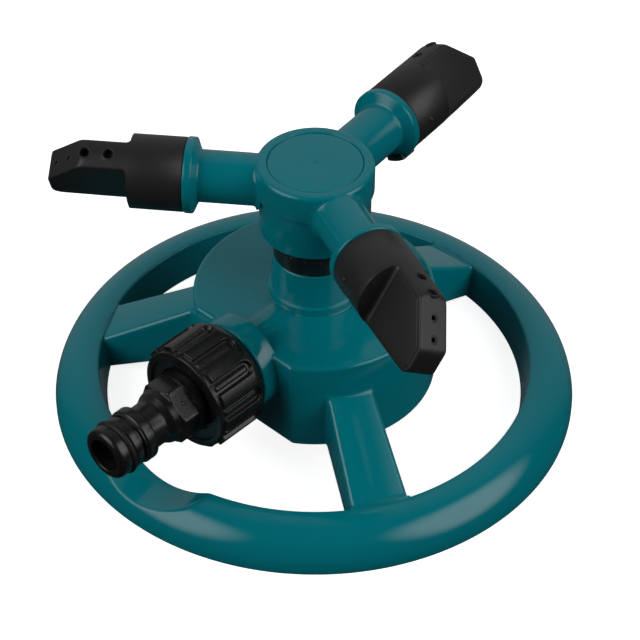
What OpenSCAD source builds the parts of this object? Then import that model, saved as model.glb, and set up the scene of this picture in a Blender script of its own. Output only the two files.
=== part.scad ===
// Three-arm rotary lawn sprinkler on a ring base.
// The spin axis is Z, the ground is z = 0 and the hose comes in along -Y.

/* [Ring base] */
// Outside diameter of the ring that rests on the lawn
ring_od = 168; // [150:1:200]
// Radial width of the ring at the ground
ring_band = 16.7; // [14:0.1:20]
// Height of the ring's crown
ring_h = 12.3; // [11:0.1:15]
// Wall thickness of the mouldings
wall = 2.5; // [2:0.1:3]
// Width of a spoke where it meets the ring
spoke_w_ring = 18; // [14:0.5:22]
// Width of a spoke where it meets the drum
spoke_w_drum = 14.8; // [12:0.2:18]

/* [Drum and column] */
// Radius of the drum in the middle of the base
drum_r = 38.3; // [36:0.1:44]
// Height of the drum's flat top above the ground
drum_top = 41; // [38:0.5:50]
// Height of the drum's lower rim above the ground
drum_bottom = 10; // [6:0.5:12]
// Distance from the spin axis to the flat that faces the hose
facet_y = 32.6; // [32:0.1:35]
// Radius of the column under the rotor
column_r = 13.8; // [12.8:0.1:15]
// Height of the column above the drum
column_h = 15.2; // [12:0.2:24]

/* [Hose inlet] */
// Height of the hose axis above the ground
inlet_z = 32; // [30:0.5:34]
// Radius of the round boss behind the union nut
boss_r = 15.2; // [14.4:0.1:16.4]
// Outside diameter of the inlet thread, G 3/4
thread_od = 26.44; // [24:0.02:28]
// Pitch of the inlet thread
thread_pitch = 1.814; // [1.5:0.001:2.4]
// Length of the threaded spigot
spigot_len = 14; // [12:0.5:20]
// Outside diameter of the union nut
nut_od = 35.2; // [34:0.2:39]
// Number of grip slots round the nut
nut_slots = 12; // [8:1:14]
// Width across the flats of the nipple's hexagon
hex_af = 18; // [17:0.1:19]
// Diameter of the quick-connect barrel
nipple_od = 17; // [16:0.1:18]
// Water bore through the nipple
nipple_bore = 10.6; // [8:0.1:11]

/* [Rotor] */
// Height of the black bearing collar
collar_h = 9.8; // [6:0.2:14]
// Radius of the black bearing collar
collar_r = 13; // [11.5:0.1:14]
// Radius of the rotor head
head_r = 18.1; // [17:0.1:21]
// Height of the rotor head
head_h = 24.2; // [22:0.1:28]
// Outside diameter of each arm
arm_od = 16.2; // [15:0.1:17.2]
// Distance from the spin axis to the outer face of an arm's flange
arm_len = 39.3; // [36:0.1:50]
// Angle of the first arm at rest, seen from above
arm_angle = 97; // [0:1:119]
// Outside diameter of the spindle that the rotor turns on
spindle_od = 10; // [9:0.1:10.4]
// Radial running clearance of the rotor and of the nozzles
running_fit = 0.05; // [0.02:0.01:0.1]

/* [Nozzles] */
// Outside diameter of a nozzle's socket
nozzle_od = 23; // [22:0.1:24]
// Length of a nozzle's socket
socket_len = 16.8; // [15:0.1:22]
// Length of the flat blade beyond the socket
blade_len = 25.8; // [24:0.1:32]
// Thickness of the blade
blade_t = 9.6; // [9:0.1:11]
// Angle of the row of jets above the horizontal at rest
jet_angle = 62; // [0:1:90]
// Diameter of the two large jets
big_jet_d = 3; // [2:0.1:3.6]
// Diameter of the two small jets
small_jet_d = 1.4; // [1:0.1:2]

/* [Hidden] */
$fn = 96;
eps = 0.01;
teal = [0.03, 0.42, 0.45];
black = [0.12, 0.12, 0.12];
rubber = [0.05, 0.05, 0.05];
acetal = [0.9, 0.9, 0.86];
steel = [0.7, 0.7, 0.72];

// Ring: its crown is one arc that runs from the inner edge down to the outer edge.
ring_ro = ring_od / 2;
ring_ri = ring_ro - ring_band;
ring_draft = 2.1;
crown_r = ring_h + 0.8;
outer_edge_z = 1.5;
crown_z = ring_h - crown_r;
crown_c = ring_ro - sqrt(pow(crown_r, 2) - pow(outer_edge_z - crown_z, 2));
saddle_r = 38;
saddle_z = 6.6;
spoke_angles = [90, 210, 330];

// Drum, column and the water way inside them.
edge_r = 1.2;
drum_flare = 0.7;
spoke_top_z = drum_top - 11.4;
rib_count = 12;
rib_t = 1.6;
plinth_r = column_r + 0.6;
plinth_h = 3;
column_top = drum_top + column_h;
column_tip = 0.5;
core_r = 8;
spindle_r = spindle_od / 2;
spindle_depth = 13;
riser_r = 3.6;
passage_r = 7;
inlet_tube_r = 10;

// Hose union: every place is a distance from the spin axis towards the hose.
boss_back = facet_y - 2.2;
boss_front = facet_y + 5.4;
thread_r = thread_od / 2;
thread_depth = 1.16;
spigot_end = boss_front + spigot_len;
washer_t = 2;
washer_ri = 8;
washer_ro = thread_r - 1.6;
flange_t = 2;
flange_back = spigot_end + washer_t;
flange_front = flange_back + flange_t;
flange_r = thread_r - 1.4;
nut_fit = 0.05;
nut_back = boss_front + 1;
lip_t = 1.9;
nut_front = flange_front + nut_fit + lip_t;
nut_r = nut_od / 2;
slot_w = 4.6;
slot_depth = 1.3;
slot_back = nut_back + 2.7;
rib_w = 1.7;
slot_phase = 12.6;
hex_turn = 17;
hex_back = nut_front + 3;
hex_len = 9;
shoulder_len = 3.6;
hex_front = nut_front + hex_len;
hex_corner_r = hex_af / sqrt(3);
lip_hole_r = hex_corner_r + 0.4;
barrel_r = nipple_od / 2;
waist_r = barrel_r - 1.3;
waist_len = 9.6;
barrel_back = hex_front + waist_len;
barrel_len = 14.4;
nipple_end = barrel_back + barrel_len;
bore_r = nipple_bore / 2;
o_ring_w = 2.2;
o_ring_y = nipple_end - 5.2;
o_ring_floor_r = barrel_r - 1.6;

// Rotor: it rests on the lower washer and is held down by the clip.
head_z = column_top + collar_h + 0.5;
head_top = head_z + head_h;
head_step_z = head_top - 9.7;
head_skirt_r = head_r - 0.9;
washer_gap = 0.05;
washer_h = 1;
thrust_z = column_top + collar_h;
thrust_r = spindle_r + 4.2;
hub_floor_z = thrust_z + washer_h + washer_gap;
hub_top_z = hub_floor_z + 7;
hub_r = spindle_r + running_fit;
chamber_r = 12;
cap_r = head_r - 3.4;
cap_t = 2.3;
cap_z = head_top - 0.2 - cap_t;
clip_z = hub_top_z + washer_gap + washer_h + washer_gap;
clip_t = 1;
clip_depth = 0.6;
spindle_top = clip_z + clip_t + 0.8;
spindle_bore_r = spindle_r - 1.7;
arm_r = arm_od / 2;
arm_z = head_top - arm_r - 0.2;
arm_bore_r = 4.5;
flange_rim_r = nozzle_od / 2 + 0.25;
flange_rim_t = 2.6;
flange_cone = 1.5;
plug_r = arm_r + 0.35;
plug_end = arm_len + socket_len - 4.6;
arm_angles = [for (i = [0:2]) arm_angle + 120 * i];

// O-rings: cross-section diameter of the small seals.
seal_d = 2;
seal_lift = 2;
rotor_seal_z = hub_floor_z + 3.5;
nozzle_seal_x = arm_len + 6;

// Nozzle, drawn along +X with its row of jets facing +Y before it is turned into place.
nozzle_gap = 0.15;
nozzle_r = nozzle_od / 2;
socket_start = arm_len + nozzle_gap;
socket_end = arm_len + socket_len;
socket_bore_r = plug_r + running_fit;
blade_half = sqrt(pow(nozzle_r, 2) - pow(blade_t / 2, 2));
tip_x = socket_end + blade_len;
chamfer = 11.9;
jet_line = tip_x + nozzle_r - chamfer;
plate_x = socket_end + 2.4;
tip_back_y = -9.6;
tip_corner = 2.6;
blade_wall = 2.3;
plate_t = 1.5;
plate_edge = 1;
plate_gap = 0.1;
big_jet_x = [socket_end + 6, socket_end + 13.2];
small_jet_x = [tip_x - 6.9, tip_x - 2.5];
hook_w = 8;
hook_t = 0.9;
hook_reach = 4.6;
hook_clear = 0.2;

// ---------------------------------------------------------------- shared shapes

// Turns a shape drawn round Z so that it lies along -Y at the height of the hose axis.
module along_hose() {
    translate([0, 0, inlet_z]) rotate([90, 0, 0]) children();
}

// A disc or tube between two places along the hose axis.
module hose_disc(from, to, r) {
    along_hose() translate([0, 0, from]) cylinder(h = to - from, r = r);
}

// A round seal with its cross-section centred at radius r.
module o_ring(r, d) {
    rotate_extrude() translate([r, 0]) circle(d = d, $fn = 32);
}

// A flat ring lying on z = 0.
module washer(ri, ro, h) {
    difference() {
        cylinder(h = h, r = ro);
        translate([0, 0, -eps]) cylinder(h = h + 2 * eps, r = ri);
    }
}

// Turns and tilts a nozzle drawn along +X onto its arm.
module on_arm(i) {
    rotate([0, 0, arm_angles[i]]) translate([0, 0, arm_z]) rotate([jet_angle, 0, 0]) children();
}

// A cylinder along +X between two distances from the spin axis.
module arm_disc(from, to, r) {
    translate([from, 0, 0]) rotate([0, 90, 0]) cylinder(h = to - from, r = r);
}

// ---------------------------------------------------------------- base frame

// Half section of the ring, drawn in by inset for its hollow underside.
module ring_section(inset) {
    floor_z = inset > 0 ? -1 : 0;
    intersection() {
        translate([crown_c, crown_z]) circle(r = crown_r - inset, $fn = 128);
        polygon([
            [ring_ri + inset, floor_z],
            [ring_ri + ring_draft + inset, ring_h],
            [ring_ro - inset, ring_h],
            [ring_ro - inset, floor_z]
        ]);
    }
}

// Side view of a spoke from the drum out to the ring; its top falls towards the ring.
module spoke_side(top_drop, r_in, r_out) {
    slope = (spoke_top_z - ring_h) / (ring_ri + ring_draft - drum_r);
    top_in = spoke_top_z - slope * (r_in - drum_r);
    polygon([
        [r_in, drum_bottom - (top_drop > 0 ? 6 : 0)],
        [r_in, top_in - top_drop],
        [r_out, top_in - slope * (r_out - r_in) - top_drop],
        [r_out, top_drop > 0 ? -6 : 0]
    ]);
}

// One spoke along +X; a positive inset gives its hollow underside.
module spoke(inset) {
    r_in = inset > 0 ? drum_r + 1.5 : drum_r - 4;
    r_out = inset > 0 ? ring_ri - 1 : ring_ri + 4;
    half_in = spoke_w_drum / 2 - inset;
    half_out = spoke_w_ring / 2 - inset;
    intersection() {
        translate([0, 50, 0]) rotate([90, 0, 0]) linear_extrude(100) spoke_side(inset, r_in, r_out);
        translate([0, 0, -10]) linear_extrude(60) polygon([
            [r_in, -half_in],
            [r_out, -half_out],
            [r_out, half_out],
            [r_in, half_in]
        ]);
    }
}

// Outside of the drum with a rounded top edge.
module drum_outside() {
    rotate_extrude($fn = 128) {
        polygon([
            [0, drum_bottom],
            [drum_r + drum_flare, drum_bottom],
            [drum_r, drum_top - edge_r],
            [drum_r - edge_r, drum_top],
            [0, drum_top]
        ]);
        translate([drum_r - edge_r, drum_top - edge_r]) circle(r = edge_r, $fn = 32);
    }
}

// Room inside the drum, open at the bottom.
module drum_inside() {
    intersection() {
        translate([0, 0, drum_bottom - 1]) cylinder(h = drum_top - drum_bottom + 1 - wall, r = drum_r - wall);
        hose_side(facet_y - wall);
    }
}

// Everything on the column's side of a plane that faces the hose.
module hose_side(distance) {
    translate([-ring_ro, -distance, -1]) cube([ring_od, ring_od, 2 * drum_top]);
}

// Round lying along the hose axis that dips into the ring, so that a hose coupling clears it.
module saddle(r) {
    along_hose() translate([0, saddle_z + saddle_r - inlet_z, ring_ri - 6]) cylinder(h = ring_band + 12, r = r);
}

// Stiffening ribs that tie the drum's wall to its core.
module drum_ribs() {
    for (i = [0:rib_count - 1]) {
        rotate([0, 0, (i + 0.5) * 360 / rib_count])
            translate([core_r - 1, -rib_t / 2, drum_bottom + 4])
                cube([drum_r - wall - core_r + 1.5, rib_t, drum_top - drum_bottom - 4 - wall + 1]);
    }
}

// Column with its plinth and slightly narrower tip.
module column_outside() {
    translate([0, 0, drum_top - 1]) cylinder(h = plinth_h + 1, r = plinth_r);
    translate([0, 0, drum_top]) cylinder(h = column_h, r1 = column_r, r2 = column_r - column_tip);
}

// Thread of the spigot, drawn as a stack of rings one pitch apart.
module spigot_thread() {
    turns = floor((spigot_len - 3) / thread_pitch);
    along_hose() rotate_extrude() for (i = [0:turns - 1]) {
        translate([0, spigot_end - 1.2 - (i + 1) * thread_pitch]) polygon([
            [passage_r + 1, 0],
            [thread_r - thread_depth, 0.12 * thread_pitch],
            [thread_r, 0.4 * thread_pitch],
            [thread_r, 0.6 * thread_pitch],
            [thread_r - thread_depth, 0.88 * thread_pitch],
            [passage_r + 1, thread_pitch]
        ]);
    }
}

// One moulding: ring, spokes, drum, column and threaded inlet.
module base_frame() {
    color(teal) difference() {
        union() {
            difference() {
                union() {
                    rotate_extrude($fn = 180) ring_section(0);
                    for (a = spoke_angles) rotate([0, 0, a]) spoke(0);
                    intersection() {
                        drum_outside();
                        hose_side(facet_y);
                    }
                }
                difference() {
                    rotate_extrude($fn = 180) ring_section(wall);
                    saddle(saddle_r + wall);
                }
                for (a = spoke_angles) rotate([0, 0, a]) spoke(wall);
                drum_inside();
                saddle(saddle_r);
            }
            intersection() {
                union() {
                    drum_ribs();
                    hose_disc(0, facet_y + 1, inlet_tube_r);
                }
                union() {
                    drum_inside();
                    hose_disc(facet_y - wall - 1, facet_y, inlet_tube_r);
                }
            }
            difference() {
                column_outside();
                translate([0, 0, drum_top - wall - 1])
                    cylinder(h = column_h + wall - 3, r = column_r - wall);
            }
            translate([0, 0, inlet_z - inlet_tube_r])
                cylinder(h = column_top - inlet_z + inlet_tube_r - 1, r = core_r);
            hose_disc(boss_back, boss_front, boss_r);
            hose_disc(boss_front - 1, spigot_end, thread_r - thread_depth);
            spigot_thread();
        }
        hose_disc(-4, spigot_end + 1, passage_r);
        translate([0, 0, inlet_z]) cylinder(h = column_top - inlet_z, r = riser_r);
        translate([0, 0, column_top - spindle_depth]) cylinder(h = spindle_depth + 1, r = spindle_r);
    }
}

// ---------------------------------------------------------------- hose union

// One open-fronted slot of the nut, with a round inner end.
module nut_slot() {
    translate([0, 0, slot_back + slot_w / 2]) {
        translate([nut_r - slot_depth, -slot_w / 2, 0])
            cube([slot_depth + 1, slot_w, nut_front - slot_back]);
        translate([nut_r - slot_depth, 0, 0]) rotate([0, 90, 0])
            cylinder(h = slot_depth + 1, d = slot_w, $fn = 48);
    }
}

// Thin rib standing in the middle of a slot.
module nut_rib() {
    translate([nut_r - slot_depth - 1, -rib_w / 2, slot_back + 1.5])
        cube([slot_depth + 0.6, rib_w, nut_front - slot_back - 3.2]);
}

// Outside of the nut before its slots, as a half section.
module nut_section() {
    rear_r = 3.2;
    rim = 1.2;
    polygon([
        [0, nut_back],
        [nut_r - rear_r, nut_back],
        [nut_r, nut_back + rear_r],
        [nut_r, nut_front - 1.6],
        [nut_r - rim, nut_front - 1.6],
        [nut_r - rim, nut_front],
        [0, nut_front]
    ]);
    translate([nut_r - rear_r, nut_back + rear_r]) circle(r = rear_r, $fn = 64);
}

module hose_union_nut() {
    color(black) along_hose() difference() {
        union() {
            difference() {
                rotate_extrude() nut_section();
                for (i = [0:nut_slots - 1]) rotate([0, 0, slot_phase + i * 360 / nut_slots]) nut_slot();
            }
            for (i = [0:nut_slots - 1]) rotate([0, 0, slot_phase + i * 360 / nut_slots]) nut_rib();
        }
        translate([0, 0, nut_back - 1])
            cylinder(h = flange_front + nut_fit - nut_back + 1, r = thread_r + nut_fit);
        translate([0, 0, nut_front - lip_t - 1]) cylinder(h = lip_t + 2, r = lip_hole_r);
        translate([0, 0, nut_front - 0.9]) cylinder(h = 2, r = nut_r - 3.4);
    }
}

// Half section of the nipple in front of its hexagon: waist, lock shoulder, barrel and tip.
module nipple_front_section() {
    shoulder_r = hex_af / 2;
    tip_r = 1.8;
    difference() {
        union() {
            polygon([
                [0, hex_front - 1],
                [shoulder_r, hex_front - 1],
                [shoulder_r, hex_front],
                [shoulder_r - 1, hex_front + shoulder_len / 2],
                [waist_r, hex_front + shoulder_len],
                [waist_r, barrel_back],
                [barrel_r + 0.3, barrel_back],
                [barrel_r + 0.3, barrel_back + 3.4],
                [barrel_r - 0.2, barrel_back + 3.8],
                [barrel_r - 0.2, nipple_end - tip_r],
                [barrel_r - 0.2 - tip_r, nipple_end],
                [0, nipple_end]
            ]);
            translate([barrel_r - 0.2 - tip_r, nipple_end - tip_r]) circle(r = tip_r, $fn = 48);
        }
        translate([waist_r + 2.4, hex_front + shoulder_len + 1]) circle(r = 2.4, $fn = 48);
        translate([o_ring_floor_r, o_ring_y - o_ring_w / 2]) square([5, o_ring_w]);
        translate([barrel_r - 1.1, barrel_back + 4.4]) square([5, 1]);
    }
}

module hose_nipple() {
    color(black) along_hose() difference() {
        union() {
            translate([0, 0, flange_back]) cylinder(h = flange_t, r = flange_r);
            translate([0, 0, flange_front - 1])
                cylinder(h = hex_back - flange_front + 1, r = hex_corner_r - 0.2);
            intersection() {
                translate([0, 0, hex_back - 1]) rotate([0, 0, hex_turn])
                    cylinder(h = hex_front - hex_back + 1, r = hex_corner_r, $fn = 6);
                translate([0, 0, hex_back - 1])
                    cylinder(h = hex_front - hex_back + 1, r1 = hex_corner_r + 0.7, r2 = hex_corner_r - 0.4);
            }
            rotate_extrude() nipple_front_section();
        }
        translate([0, 0, flange_back - 1]) cylinder(h = nipple_end - flange_back + 2, r = bore_r);
    }
}

module nipple_o_ring() {
    color(rubber) along_hose() translate([0, 0, o_ring_y])
        o_ring(o_ring_floor_r + (o_ring_w - 0.2) / 2, o_ring_w - 0.2);
}

module inlet_washer() {
    color(rubber) along_hose() translate([0, 0, spigot_end]) washer(washer_ri, washer_ro, washer_t);
}

// ---------------------------------------------------------------- spindle and bearing

// Tube pressed into the column; the clip sits in the groove near its top.
module pivot_spindle() {
    bottom = column_top - spindle_depth;
    color(acetal) difference() {
        translate([0, 0, bottom]) cylinder(h = spindle_top - bottom, r = spindle_r);
        translate([0, 0, bottom - 1]) cylinder(h = spindle_top - bottom + 2, r = spindle_bore_r);
        translate([0, 0, clip_z]) washer(spindle_r - clip_depth, spindle_r + 1, clip_t);
        translate([0, 0, column_top + seal_lift]) washer(spindle_r - 1, spindle_r + 1, seal_d + 0.2);
    }
}

module spindle_seal() {
    color(rubber) translate([0, 0, column_top + seal_lift + seal_d / 2 + 0.1])
        o_ring(spindle_r - 1 + seal_d / 2, seal_d);
}

// Black collar fixed on the column; a recess in its underside holds the spindle's seal.
module bearing_collar() {
    seat_r = spindle_r + 1.2;
    seat_h = seal_lift + seal_d + 0.2;
    color(black) difference() {
        translate([0, 0, column_top]) cylinder(h = collar_h, r = collar_r);
        translate([0, 0, column_top - 1]) cylinder(h = collar_h + 2, r = spindle_r + 0.02);
        translate([0, 0, column_top - 1]) cylinder(h = 1 + seat_h, r = seat_r);
    }
}

module lower_thrust_washer() {
    color(acetal) translate([0, 0, thrust_z]) washer(spindle_r, thrust_r, washer_h);
}

module upper_thrust_washer() {
    color(acetal) translate([0, 0, hub_top_z + washer_gap]) washer(spindle_r, thrust_r - 1, washer_h);
}

// Spring clip with an open side.
module retaining_clip() {
    color(steel) translate([0, 0, clip_z]) difference() {
        washer(spindle_r - clip_depth, spindle_r + 2.2, clip_t);
        translate([0, -2.2, -1]) cube([spindle_r + 4, 4.4, clip_t + 2]);
    }
}

// ---------------------------------------------------------------- rotor

// Flange and plug at the end of an arm, drawn along +X.
module arm_end() {
    rim_start = arm_len - flange_rim_t;
    arm_disc(rim_start, arm_len, flange_rim_r);
    translate([rim_start - flange_cone, 0, 0]) rotate([0, 90, 0])
        cylinder(h = flange_cone, r1 = arm_r, r2 = flange_rim_r);
    arm_disc(arm_len - 1, plug_end, plug_r);
}

// Head and three hollow arms in one moulding.
module rotor_body() {
    groove_w = seal_d + 0.2;
    color(teal) difference() {
        union() {
            translate([0, 0, head_z]) cylinder(h = head_h - 1, r = head_skirt_r);
            translate([0, 0, head_step_z]) cylinder(h = head_top - edge_r - head_step_z, r = head_r);
            translate([0, 0, head_top - edge_r]) rotate_extrude() {
                square([head_r - edge_r, edge_r]);
                intersection() {
                    translate([head_r - edge_r, 0]) circle(r = edge_r, $fn = 32);
                    square([head_r, edge_r]);
                }
            }
            for (a = arm_angles) rotate([0, 0, a]) translate([0, 0, arm_z]) {
                arm_disc(0, arm_len - 1, arm_r);
                arm_end();
            }
        }
        translate([0, 0, cap_z]) cylinder(h = cap_t + 1, r = cap_r);
        translate([0, 0, hub_top_z]) cylinder(h = cap_z - hub_top_z + 1, r = chamber_r);
        translate([0, 0, head_z - 1]) cylinder(h = hub_top_z - head_z + 2, r = hub_r);
        translate([0, 0, head_z - 1]) cylinder(h = hub_floor_z - head_z + 1, r = thrust_r + 0.3);
        translate([0, 0, rotor_seal_z - groove_w / 2]) cylinder(h = groove_w, r = spindle_r + 0.1 + seal_d);
        difference() {
            translate([0, 0, head_z - 1]) cylinder(h = hub_top_z - head_z - 1.5, r = head_skirt_r - wall);
            translate([0, 0, head_z - 2]) cylinder(h = hub_top_z - head_z + 2, r = thrust_r + wall);
        }
        for (a = arm_angles) rotate([0, 0, a]) translate([0, 0, arm_z]) {
            arm_disc(0, plug_end + 1, arm_bore_r);
            translate([nozzle_seal_x - groove_w / 2, 0, 0]) rotate([0, 90, 0])
                washer(plug_r - seal_d, plug_r + 1, groove_w);
        }
    }
}

// Inset disc that closes the water chamber, with a locating skirt below it.
module rotor_cap() {
    color(teal) difference() {
        union() {
            translate([0, 0, cap_z]) cylinder(h = cap_t, r = cap_r);
            translate([0, 0, cap_z - 1.4]) cylinder(h = 2, r = chamber_r);
        }
        translate([0, 0, cap_z - 2]) cylinder(h = 2, r = chamber_r - wall);
        translate([0, 0, cap_z + cap_t - 0.3]) cylinder(h = 1, r = 0.6, $fn = 24);
    }
}

module rotor_seal() {
    color(rubber) translate([0, 0, rotor_seal_z]) o_ring(spindle_r + 0.1 + seal_d / 2, seal_d);
}

// ---------------------------------------------------------------- nozzles

// Outline of the blade seen from its flat side: half is its half width, inset draws it in.
module blade_outline(start_x, half, inset) {
    end_x = tip_x - inset;
    low = tip_back_y + inset;
    chamfer_line = jet_line - inset * sqrt(2);
    polygon(concat(
        [[start_x, half - inset], [start_x, inset - half]],
        [for (a = [-75:15:0]) [end_x - tip_corner * (1 - cos(a)), low + tip_corner * (1 + sin(a))]],
        [[end_x, chamfer_line - end_x]],
        [[chamfer_line - half + inset, half - inset]]
    ));
}

// The blade continues the socket's round and is cut down to two flats.
module blade_solid() {
    intersection() {
        translate([0, 0, -blade_t / 2]) linear_extrude(blade_t) blade_outline(socket_end - 3, nozzle_r, 0);
        arm_disc(socket_end - 3, tip_x + 1, nozzle_r);
    }
}

// Hook on the side away from the jets; it reaches back over the arm's flange.
module nozzle_hook() {
    inner = flange_rim_r + hook_clear;
    difference() {
        intersection() {
            arm_disc(arm_len - hook_reach, socket_start + 2, inner + hook_t);
            translate([arm_len - hook_reach - 1, -2 * nozzle_r, -hook_w / 2])
                cube([hook_reach + 4, 2 * nozzle_r, hook_w]);
        }
        arm_disc(arm_len - flange_rim_t - hook_clear, socket_start, inner);
        translate([arm_len - flange_rim_t - hook_clear - flange_cone, 0, 0]) rotate([0, 90, 0])
            cylinder(h = flange_cone + eps, r1 = arm_r + hook_clear + 0.4, r2 = inner);
        arm_disc(arm_len - hook_reach - 1, arm_len - flange_rim_t - hook_clear - flange_cone + eps,
            arm_r + hook_clear + 0.4);
    }
}

// Room inside the blade, one wall thickness in from its outline and from its round edges.
module blade_room() {
    intersection() {
        translate([0, 0, blade_wall - blade_t / 2]) linear_extrude(blade_t - blade_wall - plate_t)
            blade_outline(plug_end, nozzle_r, blade_wall);
        arm_disc(plug_end, tip_x, nozzle_r - blade_wall);
    }
}

// Hollow nozzle moulding: socket, blade, four jets and the hook.
module nozzle_body(i) {
    color(black) on_arm(i) difference() {
        union() {
            arm_disc(socket_start, socket_end, nozzle_r);
            blade_solid();
            nozzle_hook();
        }
        arm_disc(socket_start - 1, plug_end + 0.6, socket_bore_r);
        difference() {
            blade_room();
            translate([0, -nozzle_r, blade_t / 2 - plate_t - 1])
                cube([plate_x + plate_edge, 2 * nozzle_r, blade_t]);
        }
        translate([0, 0, blade_t / 2 - plate_t])
            linear_extrude(plate_t + 1) blade_outline(plate_x, blade_half, plate_edge);
        for (x = big_jet_x) translate([x, 0, 0]) rotate([-90, 0, 0]) {
            cylinder(h = nozzle_r, d = big_jet_d, $fn = 32);
            translate([0, 0, nozzle_r - 0.7]) cylinder(h = 1.4, d1 = big_jet_d, d2 = big_jet_d + 1.4, $fn = 32);
        }
        for (x = small_jet_x) translate([x, jet_line - x, 0]) rotate([-90, 0, -45])
            translate([0, 0, -4]) cylinder(h = 8, d = small_jet_d, $fn = 24);
    }
}

// Flat plate that closes the hollow blade.
module nozzle_plate(i) {
    color(black) on_arm(i) translate([0, 0, blade_t / 2 - plate_t])
        linear_extrude(plate_t) blade_outline(plate_x + plate_gap, blade_half, plate_edge + plate_gap);
}

module nozzle_seal(i) {
    color(rubber) rotate([0, 0, arm_angles[i]]) translate([nozzle_seal_x, 0, arm_z]) rotate([0, 90, 0])
        o_ring(plug_r - seal_d / 2, seal_d);
}

base_frame();
hose_union_nut();
hose_nipple();
nipple_o_ring();
inlet_washer();
bearing_collar();
pivot_spindle();
spindle_seal();
lower_thrust_washer();
upper_thrust_washer();
retaining_clip();
rotor_body();
rotor_cap();
rotor_seal();
for (i = [0:2]) {
    nozzle_body(i);
    nozzle_plate(i);
    nozzle_seal(i);
}
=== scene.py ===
"""Rotary lawn sprinkler: procedural surfaces over the CAD frame, studio light and camera."""
import math

import bmesh
import bpy
import numpy as np
from mathutils import Matrix, Vector


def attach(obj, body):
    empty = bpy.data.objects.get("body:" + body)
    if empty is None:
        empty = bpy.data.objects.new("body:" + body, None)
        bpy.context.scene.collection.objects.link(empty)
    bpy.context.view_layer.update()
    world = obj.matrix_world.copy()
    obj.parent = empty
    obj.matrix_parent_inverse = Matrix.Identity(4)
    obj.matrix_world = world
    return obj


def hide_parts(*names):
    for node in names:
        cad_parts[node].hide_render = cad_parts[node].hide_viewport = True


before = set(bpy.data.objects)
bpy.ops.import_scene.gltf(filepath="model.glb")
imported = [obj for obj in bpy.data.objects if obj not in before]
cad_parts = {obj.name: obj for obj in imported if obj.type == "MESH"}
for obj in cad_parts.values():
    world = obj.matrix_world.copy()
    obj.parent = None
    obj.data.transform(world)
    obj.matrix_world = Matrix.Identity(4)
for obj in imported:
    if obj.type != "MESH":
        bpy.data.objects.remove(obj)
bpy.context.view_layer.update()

# ------------------------------------------------------------------ sizes in millimetres
MM = 0.001
WALL = 2.5
RING_IN = 67.3
RING_OUT = 84.0
RING_TOP = 12.3
RING_DRAFT = 2.1
CROWN_R = 13.1
CROWN_Z = RING_TOP - CROWN_R
OUTER_EDGE = 1.5
SADDLE_R = 38.0
SADDLE_Z = 6.6
SPOKE_ANGLES = (90, 210, 330)
SPOKE_TOP = 29.6
SPOKE_HALF_DRUM = 7.4
SPOKE_HALF_RING = 9.0
SPOKE_FLARE = 1.4
DRUM_R = 38.3
DRUM_TOP = 41.0
DRUM_BOTTOM = 10.0
DRUM_FLARE = 0.7
DRUM_CORNER = 2.2
FACET = 32.6
INLET_Z = 32.0
BOSS_R = 15.2
BOSS_END = 38.0
SPIGOT_END = 52.0
THREAD_R = 13.22
THREAD_PITCH = 1.814
THREAD_DEPTH = 1.16
COLUMN_R = 13.8
COLUMN_TOP = 56.2
NUT_R = 17.6
NUT_BACK = 39.0
NUT_FRONT = 57.95
NUT_SLOTS = 12
NUT_PHASE = 12.6
HEX_FLAT = 9.0
HEX_CORNER = 2 * HEX_FLAT / math.sqrt(3)
HEX_TURN = 17
HEX_BACK = NUT_FRONT + 3
HEX_FRONT = NUT_FRONT + 9
BARREL_BACK = HEX_FRONT + 9.6
NIPPLE_END = BARREL_BACK + 14.4
NIPPLE_BORE = 5.3
COLLAR_R = 13.0
COLLAR_TOP = COLUMN_TOP + 9.8
HEAD_Z = 66.5
HEAD_STEP = 81.0
HEAD_TOP = 90.7
HEAD_R = 18.1
SKIRT_R = 17.2
CAP_R = 14.7
ARM_R = 8.1
ARM_Z = 82.4
ARM_ANGLES = (97, 217, 337)
ARM_END = 39.3
FLANGE_R = 11.75
PLUG_R = 8.45
PLUG_END = 51.5
ARM_BORE = 4.5
SOCKET_START = ARM_END + 0.15
SOCKET_END = 56.1
NOZZLE_R = 11.5
JET_ANGLE = 62
BLADE_HALF = 4.8
BLADE_LENGTH = 25.8
TIP = SOCKET_END + BLADE_LENGTH
CHAMFER = 11.9
JET_LINE = TIP + NOZZLE_R - CHAMFER
BIG_JETS = (SOCKET_END + 6, SOCKET_END + 13.2)
SMALL_JETS = (TIP - 6.9, TIP - 2.5)


# ------------------------------------------------------------------ geometry helpers
def grid(points, close_u=False, close_v=False):
    """Vertices and quads of a grid of points: cell (i, j) joins its four corner points."""
    nu, nv = points.shape[:2]
    rows = np.arange(nu if close_u else nu - 1)
    columns = np.arange(nv if close_v else nv - 1)
    i, j = np.meshgrid(rows, columns, indexing="ij")
    i_next = (i + 1) % nu
    j_next = (j + 1) % nv
    quads = np.stack([i * nv + j, i_next * nv + j, i_next * nv + j_next, i * nv + j_next], -1)
    return points.reshape(-1, 3), quads.reshape(-1, 4).tolist()


def loft(sections):
    """Closed sections joined one to the next, with a flat face on the first and the last."""
    points, faces = grid(sections, close_v=True)
    count, per = sections.shape[:2]
    faces.append(list(range(per))[::-1])
    faces.append(list(range((count - 1) * per, count * per)))
    return points, faces


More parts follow.
